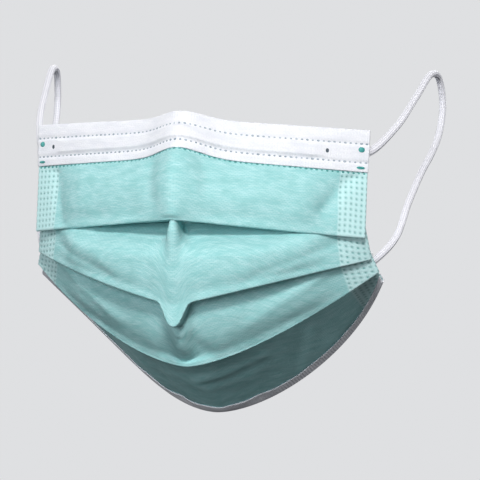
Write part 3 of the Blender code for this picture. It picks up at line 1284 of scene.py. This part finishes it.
@dataclass(frozen=True)
class Seam:
    """A line of dashes along the band, a share of its height down from the top edge."""

    share: float
    start: float = -0.985
    end: float = 0.985


@dataclass(frozen=True)
class Spot:
    """A weld spot on the band, at places across it and a share of its height down it."""

    name: str
    places: tuple[float, ...]
    share: float
    mark: Mark


@dataclass
class TopBand:
    """The white band folded over the top edge, with the nose wire's channel in it."""

    cloth: Cloth
    seams: tuple[Seam, ...] = (Seam(0.30), Seam(0.77))
    wire_reach: tuple[float, float] = (-0.86, 0.77)
    wire_down: tuple[float, float] = (0.35, 0.71)
    wire_rise: float = 0.0006
    wire_soft: float = 0.05
    wire_end_soft: float = 0.03
    puff: float = 0.00025
    unevenness: float = 0.00012
    wave_scale: float = 150.0
    waves_down: float = 3.0
    seam_depth: float = 0.00038
    seam_width: float = 0.0006
    column_step: int = 2
    rows: int = 52
    inner_rows: int = 24
    bend_rows: int = 7
    seam_steps: int = 160
    dash: Mark = Mark(0.0021, 0.0013, 0.0009, 0.00022, 0.35, 7)
    border_dash: Mark = Mark(0.0021, 0.0013, 0.0009, 0.00022, 0.35, 5)
    border_drop: float = 0.0006
    border_end: float = 0.985
    corner_square: Spot = Spot("corner_weld_squares", (-0.965, 0.955), 0.45,
                               Mark(0.0024, 0.0024, 0.0021, 0.0003))
    corner_dash: Spot = Spot("corner_weld_dashes", (-0.965, 0.955), 0.90,
                             Mark(0.0032, 0.0032, 0.0011, 0.0003))
    wire_stop: Spot = Spot("wire_end_spots", (-0.885, 0.775), 0.53,
                           Mark(0.0012, 0.0012, 0.0017, 0.0003))
    spot_guide: float = 0.1

    def out(self, t: float) -> Vector:
        """Return the unit vector out of the band's front at t."""
        form = self.cloth.form
        down = form.line_point(form.band, t) - form.line_point(form.top, t)
        across = (form.line_point(form.top, t + PLACE_STEP)
                  - form.line_point(form.top, t - PLACE_STEP))
        return down.cross(across).normalized()

    def lift(self, t: float, share: float) -> float:
        """Return how far the outer leaf stands out over the cloth.

        Args:
            t: Place across the mask.
            share: Share of the band's height down from the top edge.

        Returns:
            The height added to the leaf's reach.
        """
        form = self.cloth.form
        tall = (form.band.drop - form.top.drop) * form.height
        height = self.puff * math.sin(math.pi * min(max(share, 0.0), 1.0)) ** 0.5
        along = window(t, *self.wire_reach, self.wire_end_soft)
        channel = window(share, *self.wire_down, self.wire_soft)
        height += self.wire_rise * along * channel
        for seam in self.seams:
            height -= self.seam_depth * bell((share - seam.share) * tall, self.seam_width)
        point = form.line_point(form.top, t)
        place = Vector((point.x * self.wave_scale, share * self.waves_down,
                        point.y * self.wave_scale))
        height += self.unevenness * noise.noise(place)
        return max(height, -0.5 * form.clearance)

    def surface_point(self, t: float, share: float, face: Face) -> tuple[Vector, Vector]:
        """Return a point in the middle of a leaf, and the unit vector out of it."""
        form = self.cloth.form
        base = form.top_edge(t).lerp(form.line_point(form.band, t), share)
        out = self.out(t) * face.value
        extra = self.lift(t, share) if face is Face.OUTER else 0.0
        return base + out * (form.leaf_reach + extra), out

    def column(self, t: float) -> list[Vector]:
        """Return the points from the outer leaf's lower edge over the top to the inner one's."""
        form = self.cloth.form
        outer = [self.surface_point(t, 1.0 - index / self.rows, Face.OUTER)[0]
                 for index in range(self.rows + 1)]
        inner = [self.surface_point(t, index / self.inner_rows, Face.INNER)[0]
                 for index in range(self.inner_rows + 1)]
        out = self.out(t)
        base = form.top_edge(t)
        angles = [math.pi * (index + 1) / (self.bend_rows + 1) for index in range(self.bend_rows)]
        bend = [base + (out * math.cos(angle) + UP * math.sin(angle)) * form.leaf_reach
                for angle in angles]
        return outer + bend + inner

    def leaf_path(self, places: list[float], share: float, face: Face) -> Path:
        """Return the path over a leaf at places across it and a share of its height down it."""
        spots = [self.surface_point(place, share, face) for place in places]
        return Path([point + out * (self.cloth.form.leaf / 2) for point, out in spots],
                    [out for _, out in spots])

    def seam_paths(self, face: Face) -> list[Path]:
        """Return the paths of the seams on one face."""
        return [self.leaf_path([mix(seam.start, seam.end, index / self.seam_steps)
                                for index in range(self.seam_steps + 1)], seam.share, face)
                for seam in self.seams]

    def build(self, marks: Repeater) -> list[bpy.types.Object]:
        """Build the band, its seams and its weld spots.

        Args:
            marks: The tree that sets marks along paths.

        Returns:
            The band first, then its marks.
        """
        cloth = self.cloth
        points = np.array([[tuple(point) for point in self.column(t)]
                           for t in cloth.places[::self.column_step]])
        across = np.repeat(run_across(points)[:, None], points.shape[1], axis=1)
        plan = np.stack([across, run_along(points)], axis=2)
        pieces = [white_strip(grid_mesh("band", points, plan), cloth.form.leaf, "top_band")]
        white, mint, dark = WHITE_FILM.material(), MINT_FILM.material(), DARK_FILM.material()
        for face in Face:
            pieces.append(self.dash.set_along(self.seam_paths(face),
                                              f"band_seam_dashes_{face.name.lower()}", marks,
                                              white, Slot.WHITE))
        pieces.append(self.border_dash.set_along([self.border_path()], "band_border_dashes",
                                                 marks, mint, Slot.MINT))
        for spot, film, slot in ((self.corner_square, mint, Slot.MINT),
                                 (self.corner_dash, mint, Slot.MINT),
                                 (self.wire_stop, dark, Slot.WHITE)):
            pieces.append(spot.mark.set_along(self.spot_paths(spot), spot.name, marks, film,
                                              slot))
        return pieces

    def border_path(self) -> Path:
        """Return the path of the third seam, on the cloth just below the band's border."""
        cloth = self.cloth
        first = cloth.part_rows(1)[0]
        places = [index for index, t in enumerate(cloth.places) if abs(t) <= self.border_end]
        points, facing = [], []
        for index in places:
            down = cloth.down[index] - cloth.down[index][first]
            place = picked(cloth.points[index], down, self.border_drop)
            out = Vector(cloth.normals[index][first + 1])
            points.append(Vector(place) + out * (cloth.form.wall / 2))
            facing.append(out)
        return Path(points, facing)

    def spot_paths(self, spot: Spot) -> list[Path]:
        """Return a short path, for one mark, at each place of a spot."""
        step = spot.mark.length * self.spot_guide / self.cloth.form.half_width
        return [self.leaf_path([place, place + step], spot.share, Face.OUTER)
                for place in spot.places]


@dataclass
class BottomHem:
    """The narrow white strip folded over the lower edge."""

    cloth: Cloth
    height: float = 0.0062
    side_height: float = 0.0030
    side_power: int = 4
    leaf_rows: int = 10
    bend_rows: int = 7

    def leaf_base(self, index: int, height: float) -> tuple[list[Vector], list[Vector]]:
        """Return what the leaf lies on in a column of the cloth.

        Args:
            index: Number of the column.
            height: Height of the leaf.

        Returns:
            The points of the cloth's middle from the leaf's free edge to the cloth's edge, and
            the normals there.
        """
        down = self.cloth.down[index]
        shares = np.arange(self.leaf_rows + 1) / self.leaf_rows
        wanted = down[-1] - height * (1.0 - shares)
        points = picked(self.cloth.points[index], down, wanted)
        normals = picked(self.cloth.normals[index], down, wanted)
        return ([Vector(point) for point in points],
                [Vector(normal).normalized() for normal in normals])

    def build(self) -> bpy.types.Object:
        """Build the hem and return it."""
        cloth = self.cloth
        form = cloth.form
        reach = form.leaf_reach
        grid = []
        for index, t in enumerate(cloth.places):
            height = mix(self.height, self.side_height, abs(t) ** self.side_power)
            base, outs = self.leaf_base(index, height)
            end, out = base[-1], outs[-1]
            run = (end - base[-2]).normalized()
            turn = [math.pi * (step + 1) / (self.bend_rows + 1) for step in range(self.bend_rows)]
            column = [point + side * reach for point, side in zip(base, outs)]
            column += [end + (out * math.cos(a) + run * math.sin(a)) * reach for a in turn]
            column += [point - side * reach for point, side in zip(base[::-1], outs[::-1])]
            grid.append([tuple(point) for point in column])
        points = np.array(grid)
        across = np.repeat(cloth.across[:, None], points.shape[1], axis=1)
        mesh = grid_mesh("hem", points, np.stack([across, run_along(points)], axis=2))
        return white_strip(mesh, form.leaf, "bottom_hem")


@dataclass(frozen=True)
class Turn:
    """A point of an ear loop's free stretch, in shares of the mask's sizes."""

    out: float
    back: float
    up: float


@dataclass(frozen=True)
class Weld:
    """Where a loop's end is welded: a part of the cloth, and the shares down it.

    The first share is that at the side edge, and the second that at the loop's end.
    """

    part: int
    edge_share: float
    end_share: float


@dataclass
class EarLoop:
    """A round knitted elastic from a top corner round the ear to the lower corner."""

    cloth: Cloth
    side: Side
    diameter: float = 0.0028
    end: float = 0.008
    stitch: float = 0.0011
    wales: float = 9.0
    relief: float = 0.00020
    seat: float = 0.32
    half_pressed: float = 0.6
    steps: int = 24
    top_weld: Weld = Weld(0, 0.5, 0.5)
    low_weld: Weld = Weld(4, 0.43, 0.14)
    route: tuple[Turn, ...] = (
        Turn(1.046, 0.829, -0.035), Turn(1.099, 1.129, 0.072), Turn(1.132, 1.379, 0.151),
        Turn(1.148, 1.529, 0.140), Turn(1.160, 1.600, 0.053), Turn(1.154, 1.543, -0.044),
        Turn(1.138, 1.414, -0.114), Turn(1.112, 1.243, -0.184), Turn(1.079, 1.057, -0.285),
        Turn(1.043, 0.886, -0.404),
    )

    def weld(self, place: Weld, depth: float) -> tuple[list[Vector], list[Vector]]:
        """Return a welded end's points, from the side edge inward, and their normals.

        Args:
            place: Where it is welded.
            depth: From the middle of the cloth to the middle of the loop.

        Returns:
            The points, and the vectors out of the cloth's front.
        """
        form = self.cloth.form
        points, facing = [], []
        rows = self.cloth.part_rows(place.part)
        for share in (0.0, 0.5, 1.0):
            t = self.side.value * (1.0 - self.end / form.half_width * share)
            column, normals = self.cloth.column(t)
            down = mix(place.edge_share, place.end_share, share)
            row = round(mix(rows[0], rows[-1], down))
            out = Vector(normals[row])
            points.append(Vector(column[row]) - out * depth)
            facing.append(out)
        return points, facing

    @staticmethod
    def curve_point(four: list[Vector], share: float) -> Vector:
        """Return a point between the middle two of four, on a centripetal Catmull-Rom curve."""
        knots = [0.0]
        for start, end in zip(four, four[1:]):
            knots.append(knots[-1] + math.sqrt((end - start).length))
        place = mix(knots[1], knots[2], share)

        def blend(a: Vector, b: Vector, first: int, last: int) -> Vector:
            """Return the point between two knots."""
            return a.lerp(b, (place - knots[first]) / (knots[last] - knots[first]))

        near = [blend(four[index], four[index + 1], index, index + 1) for index in range(3)]
        wide = [blend(near[index], near[index + 1], index, index + 2) for index in range(2)]
        return blend(wide[0], wide[1], 1, 2)

    def build(self, knit: Repeater) -> bpy.types.Object:
        """Build the loop.

        Args:
            knit: The tree that knits a cord along a path.

        Returns:
            The loop.
        """
        form = self.cloth.form
        seat = form.wall / 2 + 2.0 * form.clearance + self.seat * self.diameter
        top, top_out = self.weld(self.top_weld, seat + form.leaf + form.clearance)
        low, low_out = self.weld(self.low_weld, seat)
        free = [Vector((self.side.value * turn.out * form.half_width, turn.back * form.depth,
                        turn.up * form.height)) for turn in self.route]
        half = len(free) // 2
        pressed = [1.0, 1.0, self.half_pressed]
        stops = top[::-1] + free + low
        outs = (top_out[::-1] + [top_out[0]] * half + [low_out[0]] * (len(free) - half)
                + low_out)
        flats = pressed + [0.0] * len(free) + pressed[::-1]
        guide = [stops[0] * 2.0 - stops[1]] + stops + [stops[-1] * 2.0 - stops[-2]]
        points, facing, flat = [], [], []
        for index in range(len(stops) - 1):
            for step in range(self.steps):
                share = step / self.steps
                points.append(self.curve_point(guide[index:index + 4], share))
                facing.append(outs[index].lerp(outs[index + 1], share).normalized())
                flat.append(mix(flats[index], flats[index + 1], share))
        path = Path(points + [stops[-1]], facing + [outs[-1]])
        name = f"ear_loop_{self.side.name.lower()}"
        line = paths_object(f"{name}_guide", [path])
        attribute = line.data.attributes.new("flat", "FLOAT", "POINT")
        attribute.data.foreach_set("value", flat + [1.0])
        loop = knit.run(line, f"{name}_elastic", Diameter=self.diameter, Stitch=self.stitch,
                        Wales=self.wales, Relief=self.relief, Material=ELASTIC.material())
        dress(loop, name)
        return loop


# Studio

@dataclass(frozen=True)
class SoftLight:
    """A square area light that points at a place."""

    name: str
    place: tuple[float, float, float]
    aim: tuple[float, float, float]
    size: float
    power: float
    colour: Colour = (1.0, 1.0, 1.0)
    spread: float = 60.0

    def build(self) -> None:
        """Add the light."""
        data = bpy.data.lights.new(self.name, "AREA")
        data.shape = "SQUARE"
        data.size = self.size
        data.spread = math.radians(self.spread)
        data.energy = self.power
        data.color = self.colour
        item = add_object(self.name, data)
        item.location = self.place
        aim = Vector(self.aim) - Vector(self.place)
        item.rotation_euler = aim.to_track_quat("-Z", "Y").to_euler()


@dataclass
class Studio:
    """The pale floor and surroundings, the lights and the camera.

    The floor glows for the camera alone, so that it doesn't light the folds from below. The
    scale is in pixels to the millimetre in a picture that is `pixels` wide, and the centre of
    the picture lies `centre` to the right of the origin and above it, in metres.
    """

    azimuth: float = 13.0
    elevation: float = 0.5
    roll: float = 0.02
    distance: float = 1.8
    scale: float = 2.7
    pixels: int = 480
    centre: tuple[float, float] = (0.022, -0.048)
    floor: float = -1.80
    radius: float = 3.6
    rings: int = 12
    spokes: int = 48
    pale: Colour = (0.74, 0.75, 0.76)
    mottle: float = 0.97
    fade: tuple[float, float] = (0.95, 0.45)
    floor_glow: float = 0.50
    ambient: float = 0.055
    ambient_colour: Colour = (0.93, 0.96, 1.0)
    seen: float = 0.76
    seen_colour: Colour = (0.97, 0.98, 1.0)
    lights: tuple[SoftLight, ...] = field(default_factory=lambda: (
        SoftLight("key", (0.28, -1.30, 0.80), (0.0, 0.0, -0.05), 0.26, 2.15, (1.0, 0.99, 0.97)),
        SoftLight("fill", (-0.20, -1.60, 0.20), (0.0, 0.0, -0.05), 0.6, 1.6, (0.96, 0.98, 1.0)),
        SoftLight("low", (0.60, -1.30, -0.80), (0.03, 0.03, -0.09), 0.5, 0.2, (0.97, 0.98, 1.0)),
        SoftLight("back", (0.0, 1.6, 0.9), (0.0, 0.0, -0.05), 0.9, 2.7, (0.97, 0.98, 1.0)),
        SoftLight("left", (1.5, 0.65, 0.6), (0.0, 0.05, -0.03), 0.6, 1.3, (0.97, 0.98, 1.0)),
        SoftLight("right", (-1.5, 0.65, 0.6), (0.0, 0.05, -0.03), 0.6, 1.3, (0.97, 0.98, 1.0)),
    ))

    def floor_sheet(self) -> None:
        """Add the floor, a round one that fades into the pale surroundings at its rim."""
        turns = [TURN * spoke / self.spokes for spoke in range(self.spokes + 1)]
        reaches = [self.radius * ring / self.rings for ring in range(self.rings + 1)]
        points = np.array([[(reach * math.cos(turn), reach * math.sin(turn), self.floor)
                            for reach in reaches] for turn in turns])
        mesh = grid_mesh("floor", points, points[:, :, :2])
        material, net, shader = surface("pale_floor", 0.9)
        spot = net.spot()
        darker = tuple(self.mottle * value for value in self.pale)
        colour = net.blend(net.noise(spot, scale=3.0, detail=2.0), self.pale, darker)
        net.paint(shader, colour)
        far = net.measure("LENGTH", spot)
        solid = net.ramp(far, *[self.radius * share for share in self.fade])
        net.tree.links.new(solid, shader.inputs["Alpha"])
        shader.inputs["Emission Color"].default_value = (*self.pale, 1.0)
        shader.inputs["Emission Strength"].default_value = self.floor_glow
        mesh.materials.append(material)
        floor = add_object("floor", mesh)
        floor.visible_diffuse = False
        floor.visible_glossy = False

    def camera(self) -> None:
        """Add the camera at the photograph's angle."""
        a, e = math.radians(self.azimuth), math.radians(self.elevation)
        back = Vector((math.sin(a) * math.cos(e), -math.cos(a) * math.cos(e), math.sin(e)))
        turn = (-back).to_track_quat("-Z", "Y").to_matrix().to_4x4()
        turn = turn @ Matrix.Rotation(self.roll, 4, "Z")
        right, up = turn.col[0].to_3d(), turn.col[1].to_3d()
        data = bpy.data.cameras.new("camera")
        data.sensor_width = 36.0
        wide = self.pixels / (self.scale * 1000.0)
        data.lens = data.sensor_width * self.distance / wide
        item = add_object("camera", data)
        aim = right * self.centre[0] + up * self.centre[1]
        turn.translation = aim + back * self.distance
        item.matrix_world = turn
        bpy.context.scene.camera = item

    def surroundings(self) -> None:
        """Surround the scene with a pale glow that the camera sees but that lights little."""
        world = bpy.data.worlds.new("soft_world")
        world.use_nodes = True
        net = NodeNet(world.node_tree)
        glow = world.node_tree.nodes["Background"]
        glow.inputs["Color"].default_value = (*self.ambient_colour, 1.0)
        glow.inputs["Strength"].default_value = self.ambient
        seen = net.add("ShaderNodeBackground", {"Color": (*self.seen_colour, 1.0),
                                                "Strength": self.seen})
        ray = net.add("ShaderNodeLightPath").outputs["Is Camera Ray"]
        both = net.add("ShaderNodeMixShader", {0: ray, 1: glow.outputs[0], 2: seen.outputs[0]})
        out = world.node_tree.nodes["World Output"]
        net.tree.links.new(both.outputs[0], out.inputs["Surface"])
        bpy.context.scene.world = world
        bpy.context.scene.view_settings.view_transform = "Standard"

    def build(self) -> None:
        """Build the studio round the mask."""
        self.floor_sheet()
        for light in self.lights:
            light.build()
        self.camera()
        self.surroundings()


def main() -> None:
    """Build the mask piece by piece, then the studio."""
    logging.basicConfig(level=logging.INFO, format="%(message)s")
    Studio().build()
    cloth = Cloth(WornForm())
    marks, knit = mark_tree(), knit_tree()
    panel = PleatedPanel(cloth)
    sheet, *dots = panel.build(marks)
    band = TopBand(cloth).build(marks)
    hem = BottomHem(cloth).build()
    for side in Side:
        EarLoop(cloth, side).build(knit)


if __name__ == "__main__":
    main()
